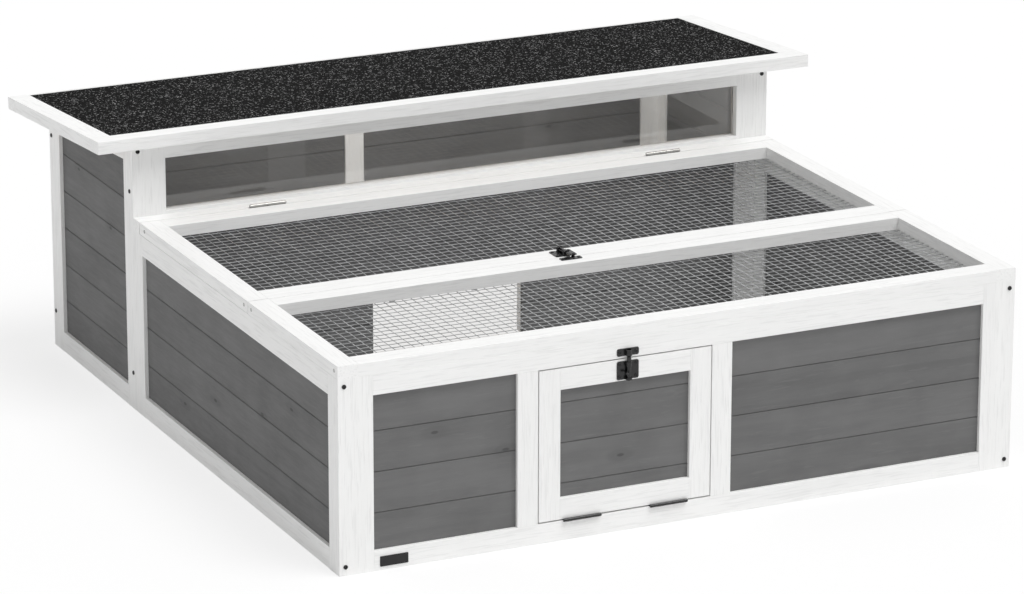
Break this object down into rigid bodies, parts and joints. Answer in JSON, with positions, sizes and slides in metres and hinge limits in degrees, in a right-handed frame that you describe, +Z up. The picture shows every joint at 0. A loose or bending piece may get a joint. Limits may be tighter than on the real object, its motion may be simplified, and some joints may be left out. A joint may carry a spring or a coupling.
{
  "type": "tortoise house",
  "caption": "Low wooden tortoise house: open-bottomed run with fixed and hinged mesh frames, drop-down front door, and a felt-roofed hutch behind with a clear window and a doorway",
  "frame": {"origin": "on the ground, at the middle of the whole house in plan", "axes": "+X to the right seen from the front, +Y from the front panel to the back wall, +Z up"},
  "size_m": [1.0506, 1.0186, 0.3843],
  "materials": {
    "white_wood": "white painted softwood, satin",
    "grey_wood": "grey stained softwood, matt, grain and knots showing",
    "plywood": "bare plywood",
    "felt": "mineral roofing felt, dark, finely speckled",
    "mesh_wire": "galvanised welded wire",
    "acrylic": "clear, polished",
    "latch_black": "black powder coat, semi-gloss",
    "hinge_zinc": "bright zinc plate",
    "screw_black": "black oxide",
    "plate_black": "black, bare"
  },
  "bodies": {
    "house": {"back_boards": "grey_wood", "back_rails": "white_wood", "back_stiles": "white_wood", "bare_plate": "plate_black", "divider_boards": "grey_wood", "door_hinge_fixed_leaves": "latch_black", "door_hinge_pins": "latch_black", "door_latch_keeper": "latch_black", "doorway_battens": "white_wood", "front_boards": "grey_wood", "front_door_posts": "white_wood", "front_end_stiles": "white_wood", "front_net": "mesh_wire", "front_rails": "white_wood", "hinge_ledge": "white_wood", "hutch_front_rails": "white_wood", "hutch_front_stiles": "white_wood", "hutch_left_boards": "grey_wood", "hutch_left_rails": "white_wood", "hutch_left_stiles": "white_wood", "hutch_right_boards": "grey_wood", "hutch_right_rails": "white_wood", "hutch_right_stiles": "white_wood", "keeper_screws": "screw_black", "lid_hinge_fixed_leaves": "hinge_zinc", "lid_hinge_pins": "hinge_zinc", "lid_latch_keeper": "latch_black", "mesh_frame_rails": "white_wood", "mesh_frame_sides": "white_wood", "panel_screws": "screw_black", "roof_hinge_fixed_leaves": "hinge_zinc", "roof_hinge_pins": "hinge_zinc", "run_left_boards": "grey_wood", "run_left_rails": "white_wood", "run_left_stiles": "white_wood", "run_right_boards": "grey_wood", "run_right_rails": "white_wood", "run_right_stiles": "white_wood", "window_pane": "acrylic"},
    "door": {"door_stiles": "white_wood", "door_rails": "white_wood", "door_boards": "grey_wood", "door_hinge_moving_leaves": "latch_black", "door_latch_body": "latch_black", "door_latch_screws": "screw_black"},
    "door_bolt": {"door_latch_bolt": "latch_black"},
    "lid": {"lid_rails": "white_wood", "lid_sides": "white_wood", "lid_net": "mesh_wire", "lid_hinge_moving_leaves": "hinge_zinc", "lid_latch_body": "latch_black", "lid_latch_screws": "screw_black"},
    "lid_bolt": {"lid_latch_bolt": "latch_black"},
    "roof": {"roof_front_rail": "white_wood", "roof_side_rails": "white_wood", "roof_back_rail": "white_wood", "roof_battens": "white_wood", "roof_deck": "plywood", "roof_felt": "felt", "roof_hinge_moving_leaves": "hinge_zinc"}
  },
  "joints": [
    {"name": "door_hinge", "type": "hinge", "parent": "house", "child": "door", "pos_m": [-0.0839, -0.5011, 0.0268], "axis": [1, 0, 0], "range_deg": [0, 94]},
    {"name": "door_bolt_slide", "type": "slide", "parent": "door", "child": "door_bolt", "axis": [0, 0, 1], "range_m": [-0.0045, 0.0032]},
    {"name": "lid_hinge", "type": "hinge", "parent": "house", "child": "lid", "pos_m": [0.005, 0.15775, 0.27185], "axis": [-1, 0, 0], "range_deg": [0, 92]},
    {"name": "lid_bolt_slide", "type": "slide", "parent": "lid", "child": "lid_bolt", "axis": [0, -1, 0], "range_m": [-0.0045, 0.0032]},
    {"name": "roof_hinge", "type": "hinge", "parent": "house", "child": "roof", "pos_m": [0, 0.4991, 0.34017], "axis": [-1, 0, 0], "range_deg": [0, 95]}
  ]
}
